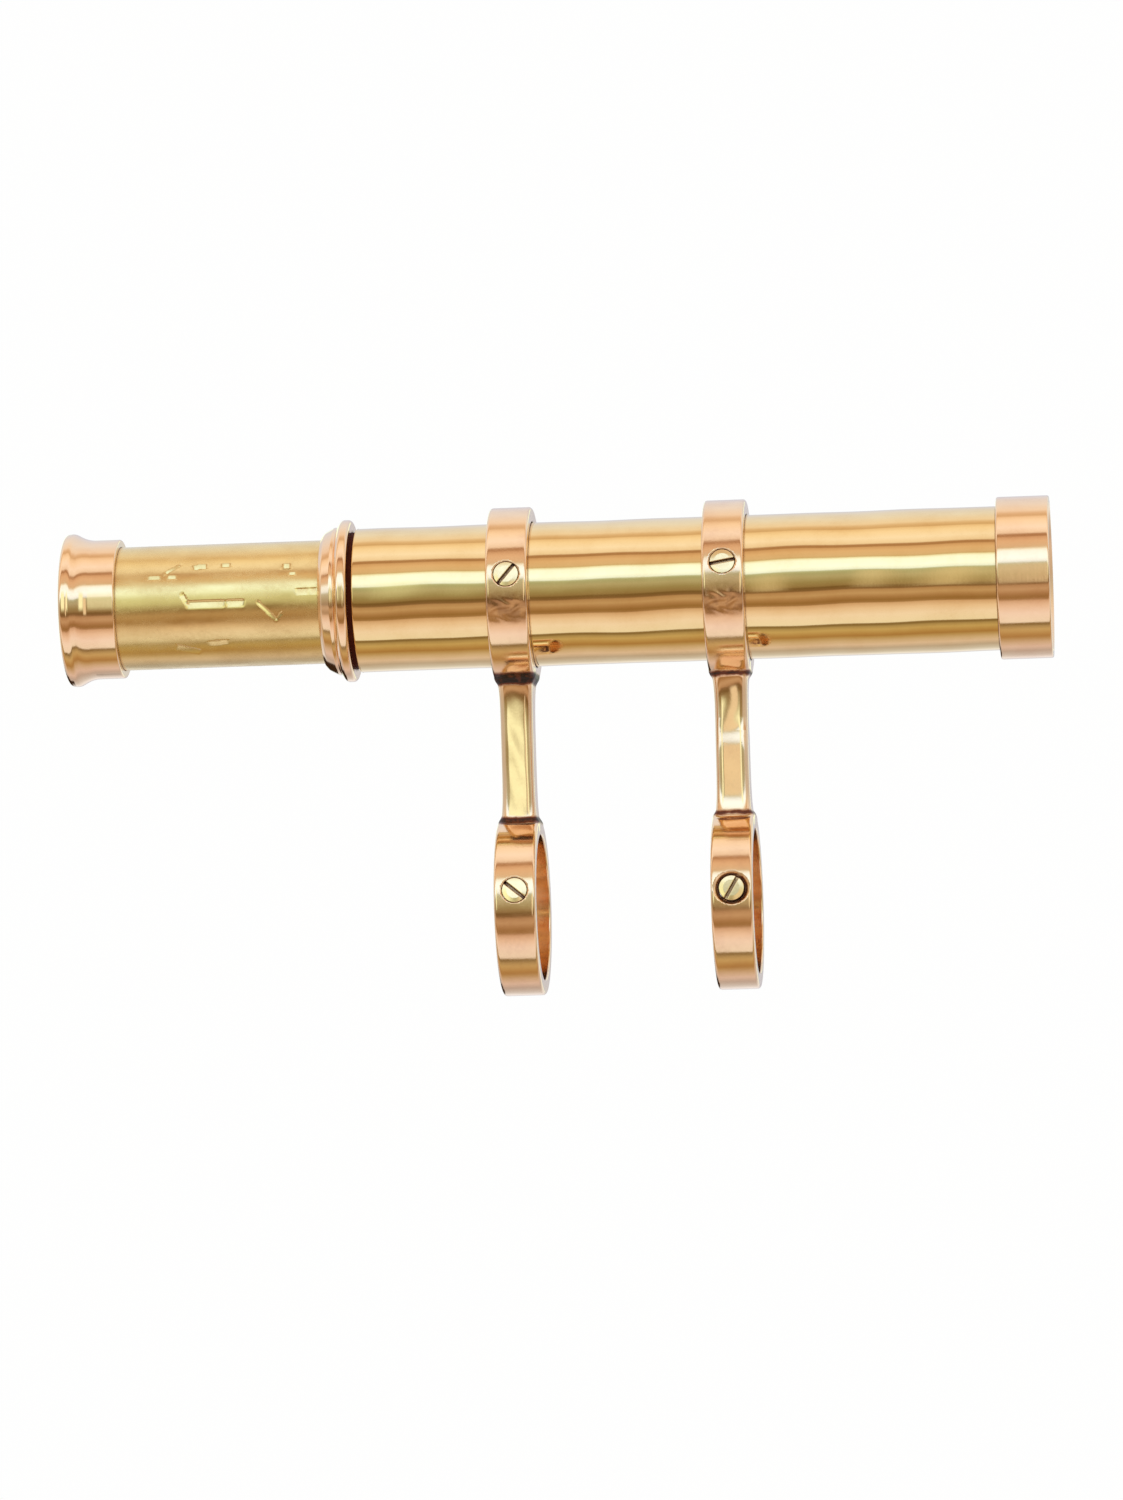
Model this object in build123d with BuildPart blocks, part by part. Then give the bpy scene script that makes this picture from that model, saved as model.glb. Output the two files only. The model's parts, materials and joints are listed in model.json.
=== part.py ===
from build123d import *

import math
import os

# Finder telescope with its two figure-8 ring brackets.
# Frame: the origin is on the axis of the host's tube, midway between the brackets.
# +X points to the sky along both axes, +Z points up from the host to the finder. Sizes are in mm.

# ---------------------------------------------------------------- driving dimensions

axis_height = 45.5  # from the host's axis up to the finder's axis
bracket_pitch = 31.2  # between the middle planes of the two brackets

ring_bore = 10.55  # radius of both ring bores
ring_radius = 12.75
ring_width = 6.0
ring_rounding = 0.35
bore_chamfer = 0.15

stem_width = 4.6  # along X, at mid height
stem_depth = 6.1  # along Y, at mid height
stem_width_flare = 0.7  # how much wider the stem is where it meets a ring
stem_depth_flare = 3.0
stem_flare_length = 2.6  # height over which the flare dies away
stem_rounding = 1.4
stem_root = 0.65  # how far the stem's end lies inside the ring's wall, from the bore

screw_radius = 1.8
screw_hole = 1.85
# Degrees that the set screws lean up from level.
rear_tilt = 10.0
front_upper_tilt = 13.5
front_lower_tilt = 7.0
screw_head_depth = 0.2  # the screw's face lies this far under the ring's surface
slot_width = 0.6
slot_depth = 0.8
hole_rim = 2.1  # radius of a screw hole's bevelled mouth
deep_hole_rim = 2.7  # the front lower hole is bevelled wider

fit_gap = 0.03  # radial gap between pieces that are screwed or pressed together
slide_gap = 0.05  # radial gap between pieces that slide

main_radius = 10.5
main_bore = 9.7
main_rear = -38.3
main_front = 54.8

draw_radius = 9.0
draw_bore = 8.2
draw_rear = -76.0
draw_front = -24.3

collar_rear = -43.3
collar_spigot_length = 6.0
collar_rim_radius = 11.8

cell_front = 62.4
cell_radius = 11.75
cell_aperture = 8.8
cell_seat = 56.2  # where the objective rests in its cell
cell_spigot_length = 5.0

objective_radius = 9.7
crown_front_curve = 66.0
crown_rear_curve = 50.0
flint_rear_curve = 190.0
flint_thickness = 1.5
crown_thickness = 3.0

eyecup_rear = -81.1
eyecup_front = -73.0
eyecup_lip_radius = 11.1
eyecup_body_radius = 10.15
eye_hole = 4.0

eye_lens_radius = 5.5
eye_lens_rear = -76.2
eye_lens_curve = 11.4
field_lens_radius = 7.0
field_lens_front = -58.5
field_lens_curve = 12.0
spacer_rear = -71.0

# ---------------------------------------------------------------- planes, axes and helpers

finder_axis = Axis((0, 0, axis_height), (1, 0, 0))
# On this plane a point's first number is its place along the finder, its second its radius.
section_plane = Plane(origin=(0, 0, axis_height), x_dir=(1, 0, 0), z_dir=(0, -1, 0))


def cross_plane(x, z=axis_height):
    """A plane across the finder at x, facing the sky, centred at height z."""
    return Plane(origin=(x, 0, z), x_dir=(0, 1, 0), z_dir=(1, 0, 0))


def sag(curve, radius):
    """How far a spherical face falls back from its apex at this radius."""
    return curve - math.sqrt(curve**2 - radius**2)


def make_ring(rear, front, inner_radius, outer_radius):
    """A plain turned ring on the finder's axis."""
    with BuildPart() as ring:
        with BuildSketch(cross_plane(rear)):
            Circle(outer_radius)
            Circle(inner_radius, mode=Mode.SUBTRACT)
        extrude(amount=front - rear)
    return ring


def make_lens(rear_apex, front_apex, rear_bulge, front_bulge, radius):
    """A lens on the finder's axis. A face bulges towards +X for a positive curve, -X for a negative
    one, and is flat for None."""

    def face_x(apex, bulge, at):
        if bulge is None:
            return apex
        return apex - math.copysign(sag(abs(bulge), at), bulge)

    def face_line(apex, bulge):
        rim = (face_x(apex, bulge, radius), radius)
        if bulge is None:
            return Line((apex, 0), rim)
        return ThreePointArc((apex, 0), (face_x(apex, bulge, radius / 2), radius / 2), rim)

    with BuildPart() as lens:
        with BuildSketch(section_plane):
            with BuildLine():
                rear_face = face_line(rear_apex, rear_bulge)
                front_face = face_line(front_apex, front_bulge)
                add([rear_face, front_face])
                Line(rear_face @ 1, front_face @ 1)
                Line((rear_apex, 0), (front_apex, 0))
            make_face()
        revolve(axis=finder_axis)
    return lens


# ---------------------------------------------------------------- brackets and set screws


def screw_plane(center_x, center_z, radius, tilt):
    """The plane across a set screw at this radius from its ring's centre, facing outwards."""
    lean = math.radians(tilt)
    out = Vector(0, -math.cos(lean), math.sin(lean))
    center = Vector(center_x, 0, center_z)
    return Plane(origin=center + out * radius, x_dir=(1, 0, 0), z_dir=out)


def stem_size(height):
    """Width and depth of the stem at a height: slender in the middle, flared at both rings."""
    above_ring = min(height, axis_height - height) - ring_radius
    flare = math.exp(-max(above_ring, 0) / stem_flare_length)
    return stem_width + stem_width_flare * flare, stem_depth + stem_depth_flare * flare


def make_bracket(center_x, lower_hole_rim, lower_tilt, upper_tilt):
    """One casting: a ring for the host, a stem and a ring for the finder."""
    rear_face = center_x - ring_width / 2
    with BuildPart() as bracket:
        for center_z in (0, axis_height):
            with BuildSketch(cross_plane(rear_face, center_z)):
                Circle(ring_radius)
            extrude(amount=ring_width)
        fillet(bracket.edges().filter_by(GeomType.CIRCLE), radius=ring_rounding)

        stem_foot = ring_bore + stem_root
        low_heights = [stem_foot, ring_radius, ring_radius + 1.5, ring_radius + 4.0]
        high_heights = [axis_height - height for height in reversed(low_heights)]
        for height in low_heights + [axis_height / 2] + high_heights:
            with BuildSketch(Plane(origin=(center_x, 0, height))):
                RectangleRounded(*stem_size(height), stem_rounding)
        loft()

        for center_z in (0, axis_height):
            with BuildSketch(cross_plane(rear_face, center_z)):
                Circle(ring_bore)
            extrude(amount=ring_width, mode=Mode.SUBTRACT)
        bore_edges = bracket.edges().filter_by(lambda edge: edge.geom_type == GeomType.CIRCLE)
        bore_edges = bore_edges.filter_by(lambda edge: abs(edge.radius - ring_bore) < 0.001)
        chamfer(bore_edges, length=bore_chamfer)

        wall = ring_radius - ring_bore
        lower_hole = (0, lower_hole_rim, lower_tilt)
        upper_hole = (axis_height, hole_rim, upper_tilt)
        for center_z, rim, tilt in (lower_hole, upper_hole):
            with Locations(screw_plane(center_x, center_z, ring_radius, tilt)):
                CounterSinkHole(screw_hole, rim, depth=wall + 1, counter_sink_angle=90)
    return bracket


def make_screw(center_x, center_z, tip_radius, tilt, slot_angle):
    """A headless set screw with a driving slot, from its tip near the bore to just under the surface."""
    face_radius = ring_radius - screw_head_depth
    face = screw_plane(center_x, center_z, face_radius, tilt)
    with BuildPart() as screw:
        with BuildSketch(face):
            Circle(screw_radius)
        extrude(amount=tip_radius - face_radius)
        chamfer(screw.edges().filter_by(GeomType.CIRCLE), length=0.2)
        with BuildSketch(face):
            Rectangle(3 * screw_radius, slot_width, rotation=slot_angle)
        extrude(amount=-slot_depth, mode=Mode.SUBTRACT)
    return screw


half_pitch = bracket_pitch / 2
rear_bracket = make_bracket(-half_pitch, hole_rim, rear_tilt, rear_tilt)
front_bracket = make_bracket(half_pitch, deep_hole_rim, front_lower_tilt, front_upper_tilt)

upper_tip = main_radius + 0.01
lower_tip = ring_bore + 0.01
rear_upper_screw = make_screw(-half_pitch, axis_height, upper_tip, rear_tilt, 50)
front_upper_screw = make_screw(half_pitch, axis_height, upper_tip, front_upper_tilt, 10)
rear_lower_screw = make_screw(-half_pitch, 0, lower_tip, rear_tilt, -40)
front_lower_screw = make_screw(half_pitch, 0, lower_tip, front_lower_tilt, 60)

# ---------------------------------------------------------------- fixed barrel

with BuildPart() as main_tube:
    with BuildSketch(cross_plane(main_rear)):
        Circle(main_radius)
        Circle(main_bore, mode=Mode.SUBTRACT)
    extrude(amount=main_front - main_rear)

# The collar closes the barrel's rear end and guides the draw tube: a cone rises from the draw tube to
# a groove, then comes the rounded rim, a narrow neck that stands as a dark line in front of the main
# tube, and the spigot inside the tube.
with BuildPart() as draw_collar:
    cone_rear_radius = 9.6
    cone_front_radius = 10.85
    cone_front = collar_rear + 1.9
    groove_front = collar_rear + 2.15
    groove_radius = 10.75
    rim_rear = collar_rear + 2.8
    rim_front = main_rear - 0.65
    rim_rounding = 0.5
    neck_radius = 9.95
    spigot_radius = main_bore - fit_gap
    spigot_front = main_rear + collar_spigot_length
    collar_bore = draw_radius + slide_gap
    with BuildSketch(section_plane):
        with BuildLine():
            Polyline(
                (rim_front, collar_rim_radius - rim_rounding),
                (rim_front, neck_radius),
                (main_rear, neck_radius),
                (main_rear, spigot_radius),
                (spigot_front, spigot_radius),
                (spigot_front, collar_bore),
                (collar_rear, collar_bore),
                (collar_rear, cone_rear_radius),
                (cone_front, cone_front_radius),
                (groove_front, groove_radius),
                (rim_rear, collar_rim_radius - rim_rounding),
            )
            ThreePointArc(
                (rim_rear, collar_rim_radius - rim_rounding),
                ((rim_rear + rim_front) / 2, collar_rim_radius),
                (rim_front, collar_rim_radius - rim_rounding),
            )
        make_face()
    revolve(axis=finder_axis)

glare_stop = make_ring(20.0, 21.2, 7.6, main_bore - fit_gap)

with BuildPart() as objective_cell:
    pocket_radius = objective_radius + slide_gap
    edge_bevel = 0.3
    mouth_radius = cell_radius - 0.85
    spigot_rear = main_front - cell_spigot_length
    with BuildSketch(section_plane):
        with BuildLine():
            Polyline(
                (spigot_rear, cell_aperture),
                (cell_seat, cell_aperture),
                (cell_seat, pocket_radius),
                (cell_front - 1.1, pocket_radius),
                (cell_front, mouth_radius),
                (cell_front, cell_radius - edge_bevel),
                (cell_front - edge_bevel, cell_radius),
                (main_front + edge_bevel, cell_radius),
                (main_front, cell_radius - edge_bevel),
                (main_front, main_bore - fit_gap),
                (spigot_rear, main_bore - fit_gap),
                close=True,
            )
        make_face()
    revolve(axis=finder_axis)

# The flint rests on the cell's seat with the crown nested in its hollow front face, and a ring with
# two spanner slots screws down on the crown.
flint_rear = cell_seat - sag(flint_rear_curve, cell_aperture)
crown_rear = flint_rear + flint_thickness
crown_front = crown_rear + crown_thickness
objective_flint_lens = make_lens(
    flint_rear, crown_rear, -flint_rear_curve, -crown_rear_curve, objective_radius
)
objective_crown_lens = make_lens(
    crown_rear, crown_front, -crown_rear_curve, crown_front_curve, objective_radius
)

with BuildPart() as objective_retaining_ring:
    retainer_bore = 8.6
    retainer_rear = crown_front - sag(crown_front_curve, retainer_bore) + 0.005
    retainer_front = cell_front - 1.1
    with BuildSketch(cross_plane(retainer_rear)):
        Circle(pocket_radius - fit_gap)
        Circle(retainer_bore, mode=Mode.SUBTRACT)
    extrude(amount=retainer_front - retainer_rear)
    with BuildSketch(cross_plane(retainer_front)):
        Rectangle(3 * retainer_bore, 1.0)
    extrude(amount=-0.7, mode=Mode.SUBTRACT)

# ---------------------------------------------------------------- draw tube and eyecup

with BuildPart() as draw_tube:
    with BuildSketch(cross_plane(draw_rear)):
        Circle(draw_radius)
        Circle(draw_bore, mode=Mode.SUBTRACT)
    extrude(amount=draw_front - draw_rear)

draw_stop_ring = make_ring(
    draw_front - 3.9, draw_front, draw_radius + fit_gap, main_bore - slide_gap
)

# The eyecup screws onto the draw tube. Its rear face is dished around the eye hole, its lip is
# rounded, and a cove runs down from the lip to its plain body.
with BuildPart() as eyecup:
    lip_rounding = 1.1
    lip_front = eyecup_rear + 1.5
    cove_front = eyecup_rear + 4.3
    dish_depth = 2.2
    dish_radius = eyecup_lip_radius - lip_rounding - 0.2
    web_front = eyecup_rear + 4.1
    cup_bore = draw_radius + fit_gap
    body_bevel = 0.3
    lip_side = (eyecup_rear + lip_rounding, eyecup_lip_radius)
    diagonal = lip_rounding * (1 - math.sqrt(0.5))
    with BuildSketch(section_plane):
        with BuildLine():
            ThreePointArc(
                (eyecup_rear, eyecup_lip_radius - lip_rounding),
                (eyecup_rear + diagonal, eyecup_lip_radius - diagonal),
                lip_side,
            )
            Line(lip_side, (lip_front, eyecup_lip_radius))
            ThreePointArc(
                (lip_front, eyecup_lip_radius),
                (lip_front + 1.2, eyecup_body_radius + 0.3),
                (cove_front, eyecup_body_radius),
            )
            Polyline(
                (cove_front, eyecup_body_radius),
                (eyecup_front - body_bevel, eyecup_body_radius),
                (eyecup_front, eyecup_body_radius - body_bevel),
                (eyecup_front, cup_bore),
                (web_front, cup_bore),
                (web_front, eye_hole),
                (eyecup_rear + dish_depth, eye_hole),
            )
            ThreePointArc(
                (eyecup_rear + dish_depth, eye_hole),
                (eyecup_rear + dish_depth * 0.6, (eye_hole + dish_radius) / 2),
                (eyecup_rear, dish_radius),
            )
            Line((eyecup_rear, dish_radius), (eyecup_rear, eyecup_lip_radius - lip_rounding))
        make_face()
    revolve(axis=finder_axis)

# ---------------------------------------------------------------- eyepiece

# The cell's flange is clamped between the eyecup's web and the end of the draw tube.
with BuildPart() as eyepiece_cell:
    eye_pocket = eye_lens_radius + slide_gap
    field_bore = field_lens_radius + slide_gap
    cell_body = draw_bore - fit_gap
    body_front = field_lens_front + 2.0
    with BuildSketch(section_plane):
        with BuildLine():
            Polyline(
                (web_front, eye_pocket - 0.75),
                (eye_lens_rear, eye_pocket - 0.75),
                (eye_lens_rear, eye_pocket),
                (spacer_rear, eye_pocket),
                (spacer_rear, field_bore),
                (body_front, field_bore),
                (body_front, cell_body),
                (draw_rear, cell_body),
                (draw_rear, draw_radius - slide_gap),
                (web_front, draw_radius - slide_gap),
                close=True,
            )
        make_face()
    revolve(axis=finder_axis)

eye_lens_front = eye_lens_rear + 3.0
eye_lens = make_lens(eye_lens_rear, eye_lens_front, None, eye_lens_curve, eye_lens_radius)
eye_ring_bore = 4.7
eye_lens_ring = make_ring(
    eye_lens_front - sag(eye_lens_curve, eye_ring_bore) + 0.01,
    eye_lens_front + 0.3,
    eye_ring_bore,
    eye_pocket - fit_gap,
)

field_lens_rear = field_lens_front - 4.0
field_lens = make_lens(
    field_lens_rear, field_lens_front, -field_lens_curve, None, field_lens_radius
)
spacer_bore = 6.3
lens_spacer = make_ring(
    spacer_rear,
    field_lens_rear + sag(field_lens_curve, spacer_bore) - 0.01,
    spacer_bore,
    field_bore - fit_gap,
)
field_lens_ring = make_ring(field_lens_front, body_front - 0.5, 6.0, field_bore - fit_gap)

reticle_rear = -54.0
reticle_ring = make_ring(reticle_rear, reticle_rear + 1.5, 6.0, draw_bore - fit_gap)

# Two wires cross on the rear face of the reticle ring, one lying on the other.
with BuildPart() as cross_wires:
    wire_diameter = 0.15
    wire_length = 15.0
    first_wire = reticle_rear - 0.08
    with Locations((first_wire, 0, axis_height)):
        Cylinder(wire_diameter / 2, wire_length)
    with Locations((first_wire - wire_diameter - 0.005, 0, axis_height)):
        Cylinder(wire_diameter / 2, wire_length, rotation=(90, 0, 0))

# ---------------------------------------------------------------- files

pieces = {
    "rear_bracket": rear_bracket,
    "front_bracket": front_bracket,
    "rear_upper_screw": rear_upper_screw,
    "front_upper_screw": front_upper_screw,
    "rear_lower_screw": rear_lower_screw,
    "front_lower_screw": front_lower_screw,
    "main_tube": main_tube,
    "draw_collar": draw_collar,
    "glare_stop": glare_stop,
    "objective_cell": objective_cell,
    "objective_flint_lens": objective_flint_lens,
    "objective_crown_lens": objective_crown_lens,
    "objective_retaining_ring": objective_retaining_ring,
    "draw_tube": draw_tube,
    "draw_stop_ring": draw_stop_ring,
    "eyecup": eyecup,
    "eyepiece_cell": eyepiece_cell,
    "eye_lens": eye_lens,
    "eye_lens_ring": eye_lens_ring,
    "lens_spacer": lens_spacer,
    "field_lens": field_lens,
    "field_lens_ring": field_lens_ring,
    "reticle_ring": reticle_ring,
    "cross_wires": cross_wires,
}

os.makedirs("parts", exist_ok=True)
for name, piece in pieces.items():
    piece.part.label = name
    export_step(piece.part, f"parts/{name}.step")
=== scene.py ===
import json
import math

import bpy
import numpy as np
from mathutils import Matrix, Vector


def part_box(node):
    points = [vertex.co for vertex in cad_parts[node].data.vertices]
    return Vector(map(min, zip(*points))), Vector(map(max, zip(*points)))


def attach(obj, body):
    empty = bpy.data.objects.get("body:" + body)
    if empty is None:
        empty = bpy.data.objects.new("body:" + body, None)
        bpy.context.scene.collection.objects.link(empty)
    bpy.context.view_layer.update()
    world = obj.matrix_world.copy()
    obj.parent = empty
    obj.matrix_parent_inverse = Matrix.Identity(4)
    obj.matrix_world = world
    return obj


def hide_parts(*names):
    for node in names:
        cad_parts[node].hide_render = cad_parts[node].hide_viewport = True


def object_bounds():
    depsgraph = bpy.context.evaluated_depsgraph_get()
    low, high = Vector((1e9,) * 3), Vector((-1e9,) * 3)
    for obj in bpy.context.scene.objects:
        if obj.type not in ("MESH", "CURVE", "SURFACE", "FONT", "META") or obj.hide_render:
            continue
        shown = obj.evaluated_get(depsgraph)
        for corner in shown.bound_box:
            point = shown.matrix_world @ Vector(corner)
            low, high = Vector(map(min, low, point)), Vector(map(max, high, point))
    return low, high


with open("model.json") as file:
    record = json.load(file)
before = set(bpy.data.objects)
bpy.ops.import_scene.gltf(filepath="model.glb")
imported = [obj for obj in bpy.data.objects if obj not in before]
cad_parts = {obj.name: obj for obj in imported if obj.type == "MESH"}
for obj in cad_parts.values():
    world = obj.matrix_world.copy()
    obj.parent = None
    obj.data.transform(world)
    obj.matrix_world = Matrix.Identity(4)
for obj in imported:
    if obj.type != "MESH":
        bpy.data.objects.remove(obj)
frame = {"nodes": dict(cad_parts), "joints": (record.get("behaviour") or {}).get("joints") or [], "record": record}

# Brass finder telescope in its two ring brackets. Lengths are in metres, and named millimetre sizes
# are multiplied by MM. Places and outer sizes come from the frame; the outlines' finer sizes are here.

MM = 0.001
cad_low, cad_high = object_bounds()

# ---------------------------------------------------------------- sizes read from the frame

tube_low, tube_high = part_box("main_tube")
AXIS_Z = (tube_low.z + tube_high.z) / 2
MAIN_RADIUS = (tube_high.z - tube_low.z) / 2


def span(node):
    """A turned node's rear end, front end and outer radius."""
    low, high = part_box(node)
    return low.x, high.x, (high.z - low.z) / 2


# ---------------------------------------------------------------- shapes


def rounded_outline(corners, arc_step=math.radians(9)):
    """Samples a closed outline of (x, radius, rounding) corners, given with the solid on their left.

    Returns rows of x, radius and the outward normal's two parts. Every corner becomes an arc, so a
    straight stretch has the same normal at both ends and stays truly flat or truly conical."""
    points = np.array([corner[:2] for corner in corners])
    rows = []
    for i, (point, rounding) in enumerate(zip(points, [corner[2] for corner in corners])):
        to_last = points[i - 1] - point
        to_next = points[(i + 1) % len(points)] - point
        room = 0.49 * min(np.linalg.norm(to_last), np.linalg.norm(to_next))
        to_last = to_last / np.linalg.norm(to_last)
        to_next = to_next / np.linalg.norm(to_next)
        opening = math.acos(np.clip(np.dot(to_last, to_next), -1, 1))
        reach = min(rounding / math.tan(opening / 2), room)
        rounding = reach * math.tan(opening / 2)
        turn = math.pi - opening
        bends_left = to_next[0] * to_last[1] - to_next[1] * to_last[0] > 0
        side = 1 if bends_left else -1
        first_normal = np.array([-to_last[1], to_last[0]])
        start = point + to_last * reach
        center = start - side * first_normal * rounding
        steps = max(1, math.ceil(turn / arc_step))
        for step in range(steps + 1):
            angle = side * turn * step / steps
            cosine, sine = math.cos(angle), math.sin(angle)
            normal = np.array(
                [
                    cosine * first_normal[0] - sine * first_normal[1],
                    sine * first_normal[0] + cosine * first_normal[1],
                ]
            )
            place = center + side * normal * rounding
            rows.append([*place, *normal])
    return np.array(rows)


def make_mesh(name, vertices, faces, normals, materials, face_slots=None):
    """A smooth mesh object with its own normals."""
    mesh = bpy.data.meshes.new(name)
    mesh.from_pydata([tuple(v) for v in vertices], [], faces)
    for material in materials:
        mesh.materials.append(material)
    if face_slots is not None:
        mesh.polygons.foreach_set("material_index", face_slots)
    mesh.shade_smooth()
    mesh.normals_split_custom_set_from_vertices([tuple(n) for n in normals])
    piece = bpy.data.objects.new(name, mesh)
    bpy.context.scene.collection.objects.link(piece)
    return piece


def divided(profile, longest):
    """The same profile with extra rows along its straight stretches, none longer than this."""
    rows = [profile[0]]
    for row in profile[1:]:
        parts = max(1, math.ceil(np.linalg.norm(row[:2] - rows[-1][:2]) / longest))
        last = rows[-1]
        rows += [last + (row - last) * part / parts for part in range(1, parts + 1)]
    return np.array(rows)


def lathe(name, profile, materials, around=256, closed=True, dents=None):
    """Turns a profile about the finder's axis. Faces that look towards the axis take the second
    material, if there is one. A row at no radius is a single vertex at the axis.

    dents(x, roll) gives how deep the outside is pressed in, roll being 0 towards -Y and 90 up."""
    roll = np.linspace(0, 2 * math.pi, around, endpoint=False)[None, :]
    x, radius, normal_x, normal_r = (profile[:, i : i + 1] + 0 * roll for i in range(4))
    normal_roll = 0 * normal_x
    if dents is not None:
        outside = normal_r > 0.99
        step = 0.01 * MM
        along = (dents(x + step, roll) - dents(x - step, roll)) / (2 * step)
        turn = step / radius
        across = (dents(x, roll + turn) - dents(x, roll - turn)) / (2 * step)
        radius = radius - outside * dents(x, roll)
        normal_x = normal_x + outside * along
        normal_roll = outside * across
    cosine, sine = np.cos(roll), np.sin(roll)
    vertices = np.stack([x, -radius * cosine, AXIS_Z + radius * sine], axis=2)
    normals = np.stack(
        [
            normal_x,
            -normal_r * cosine + normal_roll * sine,
            normal_r * sine + normal_roll * cosine,
        ],
        axis=2,
    )
    normals /= np.linalg.norm(normals, axis=2)[:, :, None]

    rings = []
    count = 0
    kept = []
    for i, row in enumerate(profile):
        size = 1 if row[1] < 1e-7 else around
        rings.append([count + j % size for j in range(around + 1)])
        kept += [(i, j) for j in range(size)]
        count += size
    faces, face_slots = [], []
    pairs = list(zip(rings, rings[1:])) + ([(rings[-1], rings[0])] if closed else [])
    for (ring, following), row in zip(pairs, profile):
        inward = len(materials) > 1 and row[3] < -0.9
        for j in range(around):
            quad = (ring[j + 1], following[j + 1], following[j], ring[j])
            faces.append(tuple(dict.fromkeys(quad)))
            face_slots.append(1 if inward else 0)
    rows, columns = np.array(kept).T
    return make_mesh(
        name, vertices[rows, columns], faces, normals[rows, columns], materials, face_slots
    )


def gradient(field, points, step):
    """The field's slope at each point, by central differences."""
    slopes = []
    for axis in range(3):
        shift = np.zeros(3)
        shift[axis] = step
        ahead, behind = points + shift, points - shift
        slopes.append((field(*ahead.T) - field(*behind.T)) / (2 * step))
    return np.stack(slopes, axis=1)


def skin(name, field, low, high, cell, materials):
    """Meshes the surface where a distance field is zero, by surface nets on a grid of cells. Each
    vertex is then pulled onto the true surface, and takes the field's slope as its normal."""
    counts = np.ceil((high - low) / cell).astype(int) + 1
    axes = [low[i] + cell * np.arange(counts[i]) for i in range(3)]
    inside = field(*np.meshgrid(*axes, indexing="ij")) < 0
    corner_count = np.zeros(np.array(inside.shape) - 1, dtype=int)
    for dx in (0, 1):
        for dy in (0, 1):
            for dz in (0, 1):
                nx, ny, nz = corner_count.shape
                corner_count += inside[dx : dx + nx, dy : dy + ny, dz : dz + nz]
    crossed = (corner_count > 0) & (corner_count < 8)
    index = np.full(crossed.shape, -1)
    index[crossed] = np.arange(crossed.sum())
    points = low + cell * (np.argwhere(crossed) + 0.5)
    for _ in range(6):
        slope = gradient(field, points, cell * 0.02)
        size = np.maximum((slope**2).sum(axis=1), 0.1)
        move = np.clip(field(*points.T) / size, -cell, cell)
        points = points - slope * move[:, None]
    normals = gradient(field, points, cell * 0.1)
    normals /= np.linalg.norm(normals, axis=1)[:, None]

    faces = []
    for axis in range(3):
        second, third = (axis + 1) % 3, (axis + 2) % 3
        here = np.moveaxis(inside, (axis, second, third), (0, 1, 2))
        cells = np.moveaxis(index, (axis, second, third), (0, 1, 2))
        changes = here[1:, 1:-1, 1:-1] != here[:-1, 1:-1, 1:-1]
        a, b, c = np.nonzero(changes)
        quad = np.stack(
            [cells[a, b, c], cells[a, b + 1, c], cells[a, b + 1, c + 1], cells[a, b, c + 1]],
            axis=1,
        )
        outward = here[:-1, 1:-1, 1:-1][changes]
        quad[~outward] = quad[~outward][:, ::-1]
        faces += quad.tolist()
    return make_mesh(name, points, faces, normals, materials)


# ---------------------------------------------------------------- materials


class Nodes:
    """A short way to build one material's nodes."""

    def __init__(self, name):
        self.material = bpy.data.materials.new(name)
        self.material.use_nodes = True
        self.tree = self.material.node_tree
        self.surface = self.tree.nodes["Principled BSDF"]
        self.place = self.tree.nodes.new("ShaderNodeTexCoord").outputs["Object"]

    def add(self, kind, inputs=(), **settings):
        node = self.tree.nodes.new(kind)
        for key, value in settings.items():
            setattr(node, key, value)
        for key, value in dict(inputs).items():
            self.put(node.inputs[key], value)
        return node

    def put(self, socket, value):
        if isinstance(value, bpy.types.NodeSocket):
            self.tree.links.new(value, socket)
        else:
            socket.default_value = value

    def noise(self, feature, detail=2.0, stretch=(1, 1, 1), shift=(0, 0, 0), rough=0.5):
        """Smooth noise whose features are about this many metres across, before stretching."""
        scale = [1 / (feature * part) for part in stretch]
        mapped = self.add(
            "ShaderNodeMapping", {"Vector": self.place, "Scale": scale, "Location": shift}
        )
        noise = self.add(
            "ShaderNodeTexNoise",
            {"Vector": mapped.outputs[0], "Scale": 1.0, "Detail": detail, "Roughness": rough},
        )
        return noise.outputs["Fac"]

    def spread(self, value, low, high, to_low=0.0, to_high=1.0):
        """Maps low..high to to_low..to_high and holds the ends."""
        inputs = {"Value": value, 1: low, 2: high, 3: to_low, 4: to_high}
        return self.add("ShaderNodeMapRange", inputs, clamp=True).outputs[0]

    def maths(self, operation, a, b=0.0):
        return self.add("ShaderNodeMath", {0: a, 1: b}, operation=operation).outputs[0]

    def within(self, value, middle, half, soft):
        """1 where value is within half of middle, falling to 0 over soft beyond that."""
        away = self.maths("ABSOLUTE", self.maths("SUBTRACT", value, middle))
        return self.spread(away, half, half + soft, 1.0, 0.0)

    def mix(self, factor, first, second):
        inputs = {0: factor, 6: first, 7: second}
        return self.add("ShaderNodeMix", inputs, data_type="RGBA").outputs[2]

    def bump(self, height, depth, normal=None):
        inputs = {"Height": height, "Distance": depth, "Strength": 1.0}
        if normal is not None:
            inputs["Normal"] = normal
        return self.add("ShaderNodeBump", inputs).outputs[0]

    def finish(self, color, roughness, normal=None, **values):
        self.put(self.surface.inputs["Base Color"], color)
        self.put(self.surface.inputs["Roughness"], roughness)
        if normal is not None:
            self.put(self.surface.inputs["Normal"], normal)
        for key, value in values.items():
            self.put(self.surface.inputs[key.replace("_", " ")], value)
        return self.material


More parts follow.
